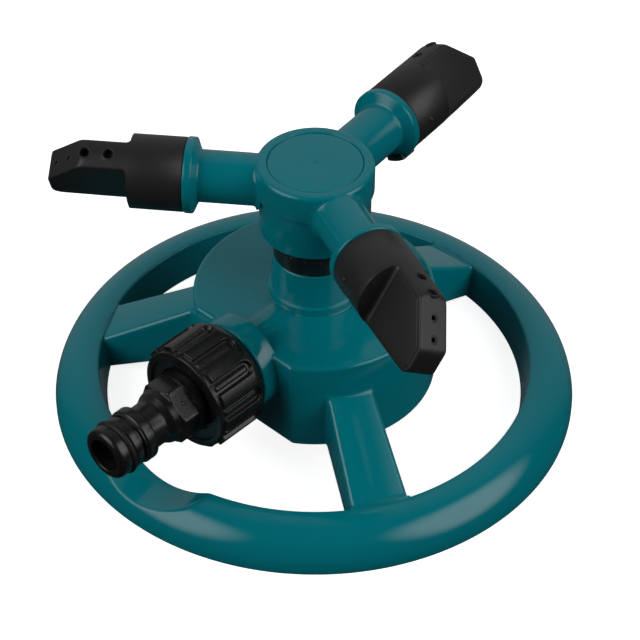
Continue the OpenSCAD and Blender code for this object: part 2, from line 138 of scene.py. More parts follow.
def rounded(corners, closed=False, steps=5):
    """Path through (u, v, radius) corners; each becomes the arc of that radius tangent to both sides."""
    path = []
    count = len(corners)
    for k, (u, v, radius) in enumerate(corners):
        here = np.array([u, v], float)
        if radius == 0 or (not closed and k in (0, count - 1)):
            path.append(here)
            continue
        back = np.array(corners[k - 1][:2]) - here
        ahead = np.array(corners[(k + 1) % count][:2]) - here
        back /= np.linalg.norm(back)
        ahead /= np.linalg.norm(ahead)
        half = math.acos(np.clip(back @ ahead, -1, 1)) / 2
        sweep = math.pi - 2 * half
        middle = (back + ahead) / np.linalg.norm(back + ahead)
        centre = here + middle * radius / math.sin(half)
        first = here + back * radius / math.tan(half) - centre
        last = here + ahead * radius / math.tan(half) - centre
        for t in np.linspace(0, 1, steps + 1):
            mix = (math.sin((1 - t) * sweep) * first + math.sin(t * sweep) * last) / math.sin(sweep)
            path.append(centre + mix)
    return np.array(path)


def subdivided(path, steps):
    """Closed path whose side from p to q is split into steps(p, q) equal parts."""
    points = []
    for p, q in zip(path, np.roll(path, -1, axis=0)):
        count = steps(p, q)
        points += [p + (q - p) * k / count for k in range(count)]
    return np.array(points)


def full_turn(count):
    """Column of evenly spaced angles round the circle."""
    return np.linspace(0, 2 * math.pi, count, endpoint=False)[:, None]


def turned(r, a, z, closed=False):
    """Surface (r cos a, r sin a, z) over a grid of angles and profile points."""
    return grid(np.stack([r * np.cos(a), r * np.sin(a), z], -1), close_u=True, close_v=closed)


def revolve(profile, count=96):
    """Surface of an (r, z) profile turned round Z."""
    a = full_turn(count)
    return turned(profile[:, 0] + 0 * a, a, profile[:, 1] + 0 * a)


def ball(radius, height, rings, count):
    """Ball of a radius and a half height, drawn round Z."""
    a = np.linspace(0, math.pi, rings)
    return revolve(np.stack([radius * np.sin(a), height * np.cos(a)], -1), count)


def placed(part, matrix):
    """A part's points moved by a 4 x 4 matrix."""
    points, faces = part
    m = np.array(matrix)
    return points @ m[:3, :3].T + m[:3, 3], faces


def along_hose(part):
    """Turns a part drawn round Z so that it lies along -Y at the height of the inlet."""
    return placed(part, Matrix.Translation((0, 0, INLET_Z)) @ Matrix.Rotation(math.pi / 2, 4, "X"))


def about_z(part, degrees):
    """A part turned round Z."""
    return placed(part, Matrix.Rotation(math.radians(degrees), 4, "Z"))


def on_arm(part, k, tilt):
    """A part drawn along +X placed on arm k, tilted about the arm by the given angle."""
    turn = Matrix.Rotation(math.radians(ARM_ANGLES[k]), 4, "Z")
    lean = Matrix.Rotation(math.radians(tilt), 4, "X")
    return placed(part, turn @ Matrix.Translation((0, 0, ARM_Z)) @ lean)


def fillet(distance, radius):
    """Height of a concave quarter round of that radius at a distance from the wall."""
    x = np.clip(distance, 0, radius)
    return radius - np.sqrt(radius ** 2 - (radius - x) ** 2)


def soft_min(a, b, width):
    """Smaller of a and b, rounded off where they differ by less than width."""
    near = np.maximum(width - np.abs(a - b), 0) / width
    return np.minimum(a, b) - near ** 2 * width / 4


def step_up(x, edge, width):
    """0 below edge and 1 above it, smooth over width."""
    t = np.clip((x - edge) / width + 0.5, 0, 1)
    return t * t * (3 - 2 * t)


def piece(name, parts, material, body, replaced, sharp=40):
    """One mesh object from several parts in millimetres, riding on a body in place of CAD nodes."""
    vertices = []
    faces = []
    for points, part_faces in parts:
        start = sum(len(v) for v in vertices)
        vertices.append(points)
        faces += [[start + k for k in face] for face in part_faces]
    mesh = bpy.data.meshes.new(name)
    mesh.from_pydata((np.concatenate(vertices) * MM).tolist(), [], faces)
    work = bmesh.new()
    work.from_mesh(mesh)
    bmesh.ops.remove_doubles(work, verts=work.verts, dist=1e-7)
    bmesh.ops.dissolve_degenerate(work, edges=work.edges, dist=1e-8)
    bmesh.ops.recalc_face_normals(work, faces=work.faces)
    work.to_mesh(mesh)
    work.free()
    mesh.shade_smooth()
    mesh.set_sharp_from_angle(angle=math.radians(sharp))
    mesh.materials.append(material)
    obj = bpy.data.objects.new(name, mesh)
    bpy.context.collection.objects.link(obj)
    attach(obj, body)
    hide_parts(*replaced)


# ------------------------------------------------------------------ materials
def linear(text):
    """Linear colour of an sRGB hex string."""
    values = [int(text[k:k + 2], 16) / 255 for k in (1, 3, 5)]
    return [v / 12.92 if v <= 0.04045 else ((v + 0.055) / 1.055) ** 2.4 for v in values] + [1.0]


def add_node(tree, kind, **inputs):
    """Adds a shader node; names with an underscore for each space set its inputs or properties."""
    node = tree.nodes.new(kind)
    for key, value in inputs.items():
        label = key.replace("_", " ")
        if label in node.inputs:
            node.inputs[label].default_value = value
        else:
            setattr(node, key, value)
    return node


def new_material(name):
    """A material that uses nodes, and its node tree."""
    material = bpy.data.materials.new(name)
    material.use_nodes = True
    return material, material.node_tree


def plastic(name, base, light, roughness, grain, edge):
    """Moulded plastic: slow colour drift, fine grain in roughness and height, softened edges.

    base and light are the two ends of the colour drift, grain the bump distance in metres and
    edge the radius in metres over which sharp edges are rounded in the shading.
    """
    material, tree = new_material(name)
    tree.nodes.clear()
    link = tree.links.new
    out = add_node(tree, "ShaderNodeOutputMaterial")
    shader = add_node(tree, "ShaderNodeBsdfPrincipled", Roughness=roughness, IOR=1.49)
    place = add_node(tree, "ShaderNodeTexCoord")
    drift = add_node(tree, "ShaderNodeTexNoise", Scale=28.0, Detail=3.0)
    fine = add_node(tree, "ShaderNodeTexNoise", Scale=900.0, Detail=4.0)
    colour = add_node(tree, "ShaderNodeMix", data_type="RGBA")
    colour.inputs["A"].default_value = linear(base)
    colour.inputs["B"].default_value = linear(light)
    for texture in (drift, fine):
        link(place.outputs["Object"], texture.inputs["Vector"])
    link(drift.outputs["Fac"], colour.inputs["Factor"])
    link(colour.outputs["Result"], shader.inputs["Base Color"])
    rough = add_node(tree, "ShaderNodeMapRange", To_Min=roughness * 0.8, To_Max=roughness * 1.2)
    link(fine.outputs["Fac"], rough.inputs["Value"])
    link(rough.outputs["Result"], shader.inputs["Roughness"])
    soft = add_node(tree, "ShaderNodeBevel", Radius=edge, samples=6)
    bump = add_node(tree, "ShaderNodeBump", Strength=0.5, Distance=grain)
    link(fine.outputs["Fac"], bump.inputs["Height"])
    link(soft.outputs["Normal"], bump.inputs["Normal"])
    link(bump.outputs["Normal"], shader.inputs["Normal"])
    link(shader.outputs["BSDF"], out.inputs["Surface"])
    return material


# Glossy teal polypropylene, injection moulded and a little wavy.
TEAL = plastic("teal polypropylene, glossy", "#00808c", "#028794", 0.09, 0.00001, 0.0006)
# Black ABS of the hose union and collar, moulded in a polished tool, so it shines a little.
BLACK = plastic("black ABS, semi-gloss", "#161515", "#1b1a19", 0.27, 0.00002, 0.0005)
# Black ABS of the nozzles, moulded in a blasted tool, so it is more matt; its base colour is a lighter grey
# than the union's black, which is painted light standing in for the light that falls on the nozzles from
# the front.
MATT_BLACK_PAINTED_LIGHT = plastic("black ABS, matt grain, painted light", "#252424", "#2b2a29", 0.42, 0.00003, 0.0005)
# Black nitrile rubber, dull.
RUBBER = plastic("black nitrile rubber, dull", "#101010", "#161616", 0.6, 0.00002, 0.0002)
# Natural acetal, turned, off-white.
ACETAL = plastic("natural acetal, satin", "#dcdbd2", "#e4e3da", 0.35, 0.00001, 0.0002)


def steel():
    """Stamped stainless spring steel with fine rolling marks."""
    material, tree = new_material("stainless spring steel, brushed")
    shader = tree.nodes["Principled BSDF"]
    shader.inputs["Base Color"].default_value = linear("#b4b4b2")
    shader.inputs["Metallic"].default_value = 1.0
    place = add_node(tree, "ShaderNodeTexCoord")
    stretch = add_node(tree, "ShaderNodeMapping")
    stretch.inputs["Scale"].default_value = (1.0, 30.0, 1.0)
    marks = add_node(tree, "ShaderNodeTexNoise", Scale=400.0, Detail=2.0)
    rough = add_node(tree, "ShaderNodeMapRange", To_Min=0.25, To_Max=0.45)
    tree.links.new(place.outputs["Object"], stretch.inputs["Vector"])
    tree.links.new(stretch.outputs["Vector"], marks.inputs["Vector"])
    tree.links.new(marks.outputs["Fac"], rough.inputs["Value"])
    tree.links.new(rough.outputs["Result"], shader.inputs["Roughness"])
    return material


STEEL = steel()


# ------------------------------------------------------------------ base moulding
def ring():
    """Crown arc r = c + R cos a over a wall, inside and out, dipped by the saddle round y."""
    crown_c = RING_OUT - math.sqrt(CROWN_R ** 2 - (OUTER_EDGE - CROWN_Z) ** 2)

    def skin(inset):
        """Half section drawn in by inset, from the inner foot over the crown to the outer foot."""
        radius = CROWN_R - inset
        inner = RING_IN + RING_DRAFT + inset
        outer = RING_OUT - inset
        first = math.acos((inner - crown_c) / radius)
        last = math.acos((outer - crown_c) / radius)
        a = np.linspace(first, last, 40)
        crown = np.stack([crown_c + radius * np.cos(a), CROWN_Z + radius * np.sin(a)], -1)
        corner = crown[0]
        bend = [(RING_IN + inset, 0, 0), (corner[0], corner[1], 0.9), (crown[4, 0], crown[4, 1], 0)]
        return np.concatenate([rounded(bend)[:-1], crown[4:], [(outer, 0)]])

    profile = np.concatenate([skin(0), skin(WALL)[::-1]])
    inside = np.concatenate([np.zeros(len(skin(0))), np.full(len(skin(WALL)), WALL)])
    a = full_turn(720)
    x = profile[:, 0] * np.cos(a)
    y = profile[:, 0] * np.sin(a)
    dip = SADDLE_Z + SADDLE_R - np.sqrt(SADDLE_R ** 2 - np.clip(x, -30, 30) ** 2) - inside
    dip = np.where(y < 0, dip, RING_TOP + 5)
    z = np.maximum(soft_min(profile[:, 1] + 0 * a, dip, 0.4), 0)
    return grid(np.stack([x, y, z], -1), close_u=True, close_v=True)


def spoke(angle):
    """Hollow bar whose top falls from drum to ring; it flares at the drum and, less, at the ring."""
    span = RING_IN + RING_DRAFT - DRUM_R
    near_drum = np.linspace(0, 0.06, 7)
    between = np.linspace(0.1, 0.9, 9)
    near_ring = np.linspace(0.94, 1, 7)
    sections = []
    for t in np.concatenate([[-0.06], near_drum, between, near_ring, [1.03]]):
        flare = 0.0
        if t <= 1:
            flare = fillet(t * span, SPOKE_FLARE) + 0.6 * fillet((1 - t) * span, SPOKE_FLARE)
        half = SPOKE_HALF_DRUM + (SPOKE_HALF_RING - SPOKE_HALF_DRUM) * t + flare
        top = SPOKE_TOP + (RING_TOP - 0.3 - SPOKE_TOP) * t + flare
        low = max(DRUM_BOTTOM * (1 - t), 0)
        outline = rounded([
            (-half, low, 0), (-half, top, 1.5), (half, top, 1.5), (half, low, 0),
            (half - WALL, low, 0), (half - WALL, top - WALL, 0),
            (WALL - half, top - WALL, 0), (WALL - half, low, 0),
        ], closed=True)
        y = outline[:, 0]
        near = np.sqrt(DRUM_R ** 2 - y ** 2)
        far = np.sqrt((RING_IN + RING_DRAFT) ** 2 - y ** 2)
        sections.append(np.stack([near + (far - near) * t, y, outline[:, 1]], -1))
    return about_z(loft(np.array(sections)), angle)


def drum_outline(round_r, facet, corner):
    """Circle of radius round_r cut by the plane y = -facet, with both corners rounded."""
    centre_x = math.sqrt((round_r - corner) ** 2 - (facet - corner) ** 2)
    right = math.atan2(corner - facet, centre_x)
    arc = np.linspace(right, math.pi - right, 181)
    circle = round_r * np.stack([np.cos(arc), np.sin(arc)], -1)
    turn = np.linspace(math.pi - right, 1.5 * math.pi, 9)[1:]
    left = np.stack([-centre_x + corner * np.cos(turn), corner - facet + corner * np.sin(turn)], -1)
    flat = np.stack([np.linspace(-centre_x, centre_x, 25)[1:-1], np.full(23, -facet)], -1)
    return np.concatenate([circle, left, flat, (left * [-1, 1])[::-1]])


def drum():
    """Flared drum with one flat for the hose, a rounded top edge and an open, hollow underside."""
    edge = 1.3
    rings = []
    for height, extra in ((DRUM_BOTTOM, DRUM_FLARE), (DRUM_TOP - edge, 0)):
        rings.append((drum_outline(DRUM_R + extra, FACET, DRUM_CORNER), height))
    for a in np.linspace(0, math.pi / 2, 7)[1:]:
        inset = edge * (1 - math.cos(a))
        height = DRUM_TOP - edge + edge * math.sin(a)
        rings.append((drum_outline(DRUM_R - inset, FACET - inset, DRUM_CORNER - inset), height))
    foot = drum_outline(DRUM_R - edge, FACET - edge, DRUM_CORNER - edge)
    foot *= (COLUMN_R - 2) / np.linalg.norm(foot, axis=1)[:, None]
    rings.append((foot, DRUM_TOP))
    inner = drum_outline(DRUM_R - WALL, FACET - WALL, 1.0)
    under = [(inner * 0.02, DRUM_TOP - WALL), (inner, DRUM_TOP - WALL), (inner, DRUM_BOTTOM)]
    levels = under + rings
    points = np.array([np.column_stack([outline, np.full(len(outline), z)]) for outline, z in levels])
    return grid(points, close_v=True)


def ribs():
    """Twelve radial ribs under the drum's roof."""
    count = 12
    half = 0.8
    inner, outer = 7.0, 29.5
    low, high = DRUM_BOTTOM + 4, DRUM_TOP - WALL + 0.5
    face = [(-half, low), (half, low), (half, high), (-half, high)]
    rib = loft(np.array([[(x, y, z) for y, z in face] for x in (inner, outer)]))
    return [about_z(rib, (k + 0.5) * 360 / count) for k in range(count)]


def column():
    """Plinth and column with soft edges and a small round at the foot."""
    profile = rounded([
        (0, DRUM_TOP - 1, 0), (COLUMN_R + 0.6, DRUM_TOP - 1, 0), (COLUMN_R + 0.6, DRUM_TOP + 3, 0.5),
        (COLUMN_R - 0.1, DRUM_TOP + 3.1, 0.2),
        (COLUMN_R - 0.5, COLUMN_TOP, 0.6), (0, COLUMN_TOP, 0),
    ])
    return revolve(profile, 128)


def inlet():
    """Boss, core tube under the drum and the spigot with its G 3/4 thread as a true helix."""
    boss = revolve(rounded([
        (0, FACET - 2.2, 0), (BOSS_R, FACET - 2.2, 0.4),
        (BOSS_R, BOSS_END, 0.8), (THREAD_R - 2, BOSS_END, 0),
    ]), 128)
    core = revolve(rounded([(0, 20, 0), (8, 20, 0.5), (8, DRUM_TOP - 1, 0), (0, DRUM_TOP - 1, 0)]), 48)
    tube = revolve(rounded([(0, 0, 0), (10, 0, 0.5), (10, FACET, 0), (0, FACET, 0)]), 48)
    y = np.linspace(BOSS_END - 1, SPIGOT_END - 0.6, 120)
    a = full_turn(96)
    turn = (y / THREAD_PITCH - a / (2 * math.pi)) % 1
    crest = np.clip(2.2 * (1 - np.abs(2 * turn - 1)) - 0.5, 0, 1)
    fade = step_up(y, BOSS_END + 2.2, 1.5) * (1 - step_up(y, SPIGOT_END - 1.8, 1.5))
    r = THREAD_R - THREAD_DEPTH + THREAD_DEPTH * crest * fade
    thread = turned(r, a, y + 0 * a)
    lip = revolve(rounded([
        (THREAD_R - THREAD_DEPTH, SPIGOT_END - 0.6, 0), (THREAD_R - THREAD_DEPTH, SPIGOT_END, 0.4),
        (7, SPIGOT_END, 0.3), (7, BOSS_END - 10, 0), (0, BOSS_END - 10, 0),
    ]), 96)
    return [along_hose(part) for part in (boss, tube, thread, lip)] + [core]


base_parts = [ring(), drum(), column()] + [spoke(a) for a in SPOKE_ANGLES] + ribs() + inlet()
piece("base_moulding", base_parts, TEAL, "base", ["base_frame"])


# ------------------------------------------------------------------ hose union
def nut():
    """Nut r = R - groove + rib over a fine grid: twelve open-fronted slots, each with a thin rib."""
    slot_half, depth, rib_half = 2.3, 1.3, 0.85
    start = NUT_BACK + 2.7
    shoulder = NUT_FRONT - 1.6
    recess = NUT_FRONT - 0.9
    lip = NUT_FRONT - 1.9
    bore = THREAD_R + 0.05
    hole = HEX_CORNER + 0.4
    edges = rounded([
        (NUT_R - 2.2, NUT_BACK, 0), (NUT_R, NUT_BACK, 3.0), (NUT_R, shoulder, 0.3),
        (NUT_R - 1.2, shoulder, 0.2), (NUT_R - 1.2, NUT_FRONT, 0.5), (NUT_R - 3.4, NUT_FRONT, 0.4),
        (NUT_R - 3.4, recess, 0.3), (hole, recess, 0.2), (hole, lip, 0),
        (bore, lip, 0), (bore, NUT_BACK, 0.3),
    ], closed=True)

    def steps(p, q):
        """Parts of at most about 0.3 mm near the outside, where the slots are cut."""
        outside = min(p[0], q[0]) > NUT_R - 3.3
        return max(1, int(np.linalg.norm(q - p) / 0.3)) if outside else 1

    profile = subdivided(edges, steps)
    a = full_turn(720)
    r = profile[:, 0] + 0 * a
    y = profile[:, 1] + 0 * a
    pitch = 2 * math.pi / NUT_SLOTS
    across = ((a - math.radians(NUT_PHASE) + pitch / 2) % pitch - pitch / 2) * NUT_R
    ahead = np.minimum(y - start - slot_half, 0)
    groove = 1 - step_up(np.hypot(across, ahead), slot_half, 0.5)
    along = step_up(y, start + 1.6, 0.5) * (1 - step_up(y, NUT_FRONT - 1.7, 0.4))
    rib = (1 - step_up(np.abs(across), rib_half, 0.5)) * along
    bottom = NUT_R - depth + 0.6 * rib
    slotted = np.minimum(r, r * (1 - groove) + bottom * groove)
    r = np.where(r > NUT_R - 1.25, slotted, r)
    return along_hose(turned(r, a, y, closed=True))


def nipple():
    """Nipple as r(a, y): flange, round shoulder, hexagon under a cone, waist, barrel, grooves and bore."""
    flange_r = THREAD_R - 1.4
    flange_back, flange_front = NUT_FRONT - 3.95, NUT_FRONT - 1.95
    shoulder_r = HEX_CORNER - 0.2
    waist_r, lock_r, barrel_r = 7.2, 8.8, 8.3
    lock_end = BARREL_BACK + 3.4
    hair = 0.001
    corners = [
        (NIPPLE_BORE, flange_back, 0), (flange_r, flange_back, 0), (flange_r, flange_front, 0),
        (shoulder_r, flange_front, 0), (shoulder_r, HEX_BACK, 0.4), (HEX_CORNER + hair, HEX_BACK + hair, 0),
        (HEX_CORNER, HEX_FRONT - 0.6, 0), (HEX_FLAT, HEX_FRONT, 0.6), (8.5, HEX_FRONT + 1.9, 1.2),
        (waist_r, HEX_FRONT + 4.2, 2.2), (waist_r, BARREL_BACK, 0.5),
        (lock_r, BARREL_BACK, 0.6), (lock_r, lock_end, 0.5), (barrel_r, lock_end + 0.4, 0.2),
    ]
    relief = (BARREL_BACK + 4.4, BARREL_BACK + 5.4, 7.4)
    o_ring_groove = (NIPPLE_END - 6.3, NIPPLE_END - 4.1, 6.9)
    for back, front, root in (relief, o_ring_groove):
        corners += [(barrel_r, back, 0.2), (root, back, 0.2), (root, front, 0.2), (barrel_r, front, 0.2)]
    corners += [(barrel_r, NIPPLE_END, 1.8), (NIPPLE_BORE, NIPPLE_END, 0.5)]

    def steps(p, _):
        """Six parts to a side on the hexagon, and one elsewhere."""
        return 6 if HEX_BACK - 1 < p[1] < HEX_FRONT and p[0] > 8 else 1

    profile = subdivided(rounded(corners, closed=True), steps)
    a = full_turn(240)
    y = profile[:, 1] + 0 * a
    r = profile[:, 0] + 0 * a
    side = (a - math.radians(HEX_TURN)) % (math.pi / 3) - math.pi / 6
    hexagon = HEX_FLAT / np.cos(side)
    outside = r > NIPPLE_BORE + 1
    in_hexagon = outside & (y > HEX_BACK + hair / 2) & (y < HEX_FRONT + 0.05)
    r = np.where(in_hexagon, soft_min(r, hexagon, 0.5), r)
    return along_hose(turned(r, a, y, closed=True))


def gate_mark():
    """Low cup-shaped ring where the moulding's gate was cut off, on one face of the hexagon."""
    height = 0.25
    profile = rounded([
        (0.65, -0.3, 0), (0.65, height, 0.1), (0.45, height, 0.05), (0.4, 0.02, 0), (0, 0.02, 0),
    ])
    turn = Matrix.Rotation(math.radians(HEX_TURN + 30), 4, "Z")
    middle = Matrix.Translation((HEX_FLAT, 0, (HEX_BACK + HEX_FRONT) / 2))
    return along_hose(placed(revolve(profile, 24), turn @ middle @ Matrix.Rotation(math.pi / 2, 4, "Y")))


piece("union_nut_shell", [nut()], BLACK, "union_nut", ["hose_union_nut"], 50)
piece("nipple_shell", [nipple(), gate_mark()], BLACK, "hose_fitting", ["hose_nipple"], 50)


# ------------------------------------------------------------------ rotor
def head():
    """Head with a lower skirt, a soft shoulder, a rounded top edge and the pocket of its cap."""
    hub_in, hub_out = 8.0, 11.5
    hollow = HEAD_Z + 5
    pocket = HEAD_TOP - 1.2
    profile = rounded([
        (0, HEAD_Z + 6, 0), (hub_in, HEAD_Z + 6, 0), (hub_in, HEAD_Z, 0.3), (hub_out, HEAD_Z, 0.3),
        (hub_out, hollow, 0), (SKIRT_R - WALL, hollow, 0), (SKIRT_R - WALL, HEAD_Z, 0.3),
        (SKIRT_R, HEAD_Z, 0.7), (SKIRT_R, HEAD_STEP - 0.3, 0.6), (HEAD_R, HEAD_STEP, 0.5),
        (HEAD_R, HEAD_TOP, 1.3), (CAP_R, HEAD_TOP, 0.3), (CAP_R, pocket, 0), (0, pocket, 0),
    ])
    return revolve(profile, 160)


def cap():
    """Inset disc with a softened rim and a small dimple in the middle."""
    top = HEAD_TOP - 0.2
    profile = rounded([
        (0, top - 2.3, 0), (CAP_R - 0.1, top - 2.3, 0), (CAP_R - 0.1, top, 0.4),
        (0.9, top, 0.2), (0.6, top - 0.3, 0.2), (0, top - 0.3, 0),
    ])
    return revolve(profile, 128)


def arm():
    """Arm, flange and plug along +X; the arm's foot flares by a quarter round where it leaves the head."""
    flare = 1.2
    foot = [(HEAD_R - 3, 0), (HEAD_R - 3, ARM_R - 1.2), (HEAD_R - 1, ARM_R - 0.6 + flare)]
    foot += [(HEAD_R + d, ARM_R + fillet(d, flare)) for d in np.linspace(0, flare, 7)]
    tube = rounded([
        (HEAD_R + 3, ARM_R, 0), (ARM_END - 4.1, ARM_R, 0.8), (ARM_END - 2.6, FLANGE_R, 0.5),
        (ARM_END, FLANGE_R, 0.5), (ARM_END, PLUG_R, 0), (PLUG_END, PLUG_R, 0.4),
        (PLUG_END, ARM_BORE, 0.3), (20, ARM_BORE, 0), (20, 0, 0),
    ])
    profile = np.concatenate([foot, tube])
    a = full_turn(120)
    r = profile[:, 1] + 0 * a
    near_top = step_up(np.sin(a), 0.75, 0.5)
    plain_top = r * (1 - near_top) + np.minimum(r, ARM_R - 0.1) * near_top
    r = np.where(profile[:, 0] < HEAD_R + 3, plain_top, r)
    y = r * np.cos(a)
    follow = 1 - step_up(profile[:, 0], HEAD_R + 6, 8)
    x = profile[:, 0] + follow * (np.sqrt(HEAD_R ** 2 - y ** 2) - HEAD_R)
    return grid(np.stack([x, y, r * np.sin(a)], -1), close_u=True)


rotor_parts = [head()] + [on_arm(arm(), k, 0) for k in range(3)]
piece("rotor_moulding", rotor_parts, TEAL, "rotor", ["rotor_body"])
piece("cap_disc", [cap()], TEAL, "rotor", ["rotor_cap"])


# ------------------------------------------------------------------ nozzles
def nozzle_shell():
    """Socket and blade as distance(s, a) from the arm's axis.

    A section is the round cut by two flats and by the jets' chamfer; the soft minimum of the
    distances to each rounds its corners. The flats start at a step with a quarter round at its foot.
    """
    foot = 1.5
    rim = 0.3
    nose = 0.9
    fine = 0.75
    far = 99.0
    rows = [
        (SOCKET_START, NOZZLE_R - rim, 0.0), (SOCKET_START + rim, NOZZLE_R, 0.0),
        (SOCKET_END - rim, NOZZLE_R, 0.0),
    ]
    for a in np.linspace(0, math.pi / 2, 5)[1:]:
        rows.append((SOCKET_END - rim + rim * math.sin(a), NOZZLE_R - rim + rim * math.cos(a), 0.0))
    for a in np.linspace(0, math.pi / 2, 9):
        s = SOCKET_END + foot * (1 - math.cos(a)) + 0.001
        rows.append((s, BLADE_HALF + foot * (1 - math.sin(a)), 0.0))
    rows += [(s, BLADE_HALF, 0.0) for s in np.arange(SOCKET_END + foot + 0.3, TIP - nose, 0.3)]
    for a in np.linspace(0, math.pi / 2, 6):
        rows.append((TIP - nose + nose * math.sin(a), BLADE_HALF, nose * (1 - math.cos(a))))
    s, half, inset = (np.array(column)[:, None] for column in zip(*rows))
    half = half - inset
    jet_side = np.linspace(-fine, fine, 76)[:-1]
    a = np.concatenate([jet_side, np.linspace(fine, 2 * math.pi - fine, 120, endpoint=False)])
    centre = -4.0 * step_up(s, TIP - 9, 12)
    w_dir, t_dir = np.cos(a), np.sin(a)
    radius = np.where(s < SOCKET_START + rim, half, NOZZLE_R - inset)
    across = centre * w_dir
    to_round = -across + np.sqrt(across ** 2 + radius ** 2 - centre ** 2)
    high = np.minimum(JET_LINE - s, 30) - inset * math.sqrt(2)
    low = NOZZLE_R - (s - SOCKET_END).clip(0) * 1.9 / BLADE_LENGTH
    low = low - inset - fillet(TIP + 0.001 - s, 3.4).clip(0, 3.2)
    to_flat = half / np.maximum(np.abs(t_dir), 1e-6)
    in_socket = s < SOCKET_END - rim - 0.01
    to_flat = np.where(in_socket, far, to_flat)
    to_high = np.where(w_dir > 1e-3, (high - centre) / np.maximum(w_dir, 1e-3), far)
    to_low = np.where(w_dir < -1e-3, (low + centre) / np.maximum(-w_dir, 1e-3), far)
    distances = np.stack([to_round, to_flat, to_high, to_low])
    power = 26.0
    reach = np.sum(distances ** -power, axis=0) ** (-1 / power)
    reach = np.where(in_socket, to_round, reach)
    return s, centre + reach * w_dir, reach * t_dir


def jet(s, w, radius, tilt):
    """Funnel with a proud lip at a jet: from a rim on the surface down a dark bore."""
    lip = 0.55
    profile = rounded([
        (radius + lip, -0.7, 0), (radius + lip, 0.05, 0.25), (radius, 0.05, 0.3),
        (radius - 0.1, -3.2, 0), (0, -3.2, 0),
    ])
    funnel = revolve(profile, 40)
    up = Matrix.Rotation(-math.pi / 2, 4, "X")
    lean = Matrix.Rotation(-tilt, 4, "Z")
    return placed(funnel, Matrix.Translation((s, w, 0)) @ lean @ up)


def jets():
    """(station, height, radius, tilt) of the two large jets and the two small ones on the chamfer."""
    large = [(s, NOZZLE_R - 0.08, 1.5, 0.0) for s in BIG_JETS]
    small = [(s, JET_LINE - s, 0.7, math.pi / 4) for s in SMALL_JETS]
    return large + small


def nozzle():
    """Nozzle moulding along +X with its jets towards +Y."""
    s, w, t = nozzle_shell()
    points = np.stack([s + 0 * w, w, t], -1)
    vertices, faces = grid(points, close_v=True)
    corners = vertices[np.array(faces)].mean(axis=1)
    keep = np.ones(len(faces), bool)
    for x, y, radius, tilt in jets():
        out = np.array([math.sin(tilt), math.cos(tilt), 0])
        gap = corners - (x, y, 0)
        along = gap @ out
        off = np.linalg.norm(gap - along[:, None] * out, axis=1)
        keep &= ~((off < radius + 0.2) & (np.abs(along) < 1.2))
    kept = [face for face, stays in zip(faces, keep) if stays]
    count = points.shape[1]
    kept.append(list(range((points.shape[0] - 1) * count, points.shape[0] * count)))
    shell = (vertices, kept)
    return [shell] + [jet(*values) for values in jets()] + [hook()]


def hook():
    """Claw that reaches back over the arm's flange, a short turn of a closed (s, r) outline."""
    outline = rounded([
        (SOCKET_START + 2, 10.5, 0), (SOCKET_START + 2, 12.45, 0.4), (35.4, 12.45, 0.5), (35.4, 10.3, 0.3),
        (36.0, 10.5, 0.2), (36.5, 11.95, 0.2), (SOCKET_START, 11.95, 0), (SOCKET_START, 10.5, 0),
    ], closed=True)
    sections = []
    for a in np.radians(np.linspace(-16, 16, 11)):
        r = outline[:, 1]
        sections.append(np.stack([outline[:, 0], -r * np.cos(a), r * np.sin(a)], -1))
    return loft(np.array(sections))


def plate():
    """Flat cover of the hollow blade, its edge softened, set a hair proud of the rim."""
    start = SOCKET_END + 1.9
    half = 9.2
    line = JET_LINE - 1.2 * math.sqrt(2)
    end = TIP - 1.3
    outline = rounded([
        (start, -half, 0.4), (end, -8.3, 1.8), (end, line - end, 0.6),
        (line - half, half, 0.6), (start, half, 0.4),
    ], closed=True)
    levels = [
        (BLADE_HALF - 1, 0.0), (BLADE_HALF + 0.05, 0.0),
        (BLADE_HALF + 0.17, 0.08), (BLADE_HALF + 0.2, 0.25),
    ]
    middle = np.array([(start + end) / 2, 0])
    sections = []
    for z, inset in levels:
        shrunk = middle + (outline - middle) * (1 - inset / 9)
        sections.append(np.column_stack([shrunk, np.full(len(outline), z)]))
    return loft(np.array(sections))


def ejector_pip():
    """Low round pip on the socket's side away from the jets."""
    turn = Matrix.Rotation(math.radians(109), 4, "X")
    out = Matrix.Translation((46, NOZZLE_R, 0)) @ Matrix.Rotation(-math.pi / 2, 4, "X")
    return placed(ball(0.7, 0.5, 13, 24), turn @ out)


nozzle_parts = nozzle() + [ejector_pip()]
for k in range(3):
    number = k + 1
    body = f"nozzle_{number}"
    shells = [on_arm(part, k, JET_ANGLE) for part in nozzle_parts]
    cover = [on_arm(plate(), k, JET_ANGLE)]
    for kind, parts, node in (("moulding", shells, "body"), ("cover", cover, "plate")):
        replaced = [f"nozzle_{node}_{number}"]
        piece(f"nozzle_{kind}_{number}", parts, MATT_BLACK_PAINTED_LIGHT, body, replaced, 50)


# ------------------------------------------------------------------ collar
def collar():
    """Black bearing collar with softened edges."""
    bore = 5.1
    profile = rounded([
        (0, COLUMN_TOP, 0), (COLLAR_R, COLUMN_TOP, 0.3), (COLLAR_R, COLLAR_TOP, 0.6),
        (bore, COLLAR_TOP, 0.3), (bore, COLLAR_TOP - 2, 0), (0, COLLAR_TOP - 2, 0),
    ])
    return revolve(profile, 96)


def pips():
    """Row of small round pips standing out of the collar."""
    count = 18
    place = Matrix.Translation((COLLAR_R - 0.15, 0, COLUMN_TOP + 5.5))
    pip = placed(ball(0.45, 0.45, 9, 16), place)
    return [about_z(pip, 360 / count * k) for k in range(count)]


piece("collar_ring", [collar()] + pips(), BLACK, "base", ["bearing_collar"])

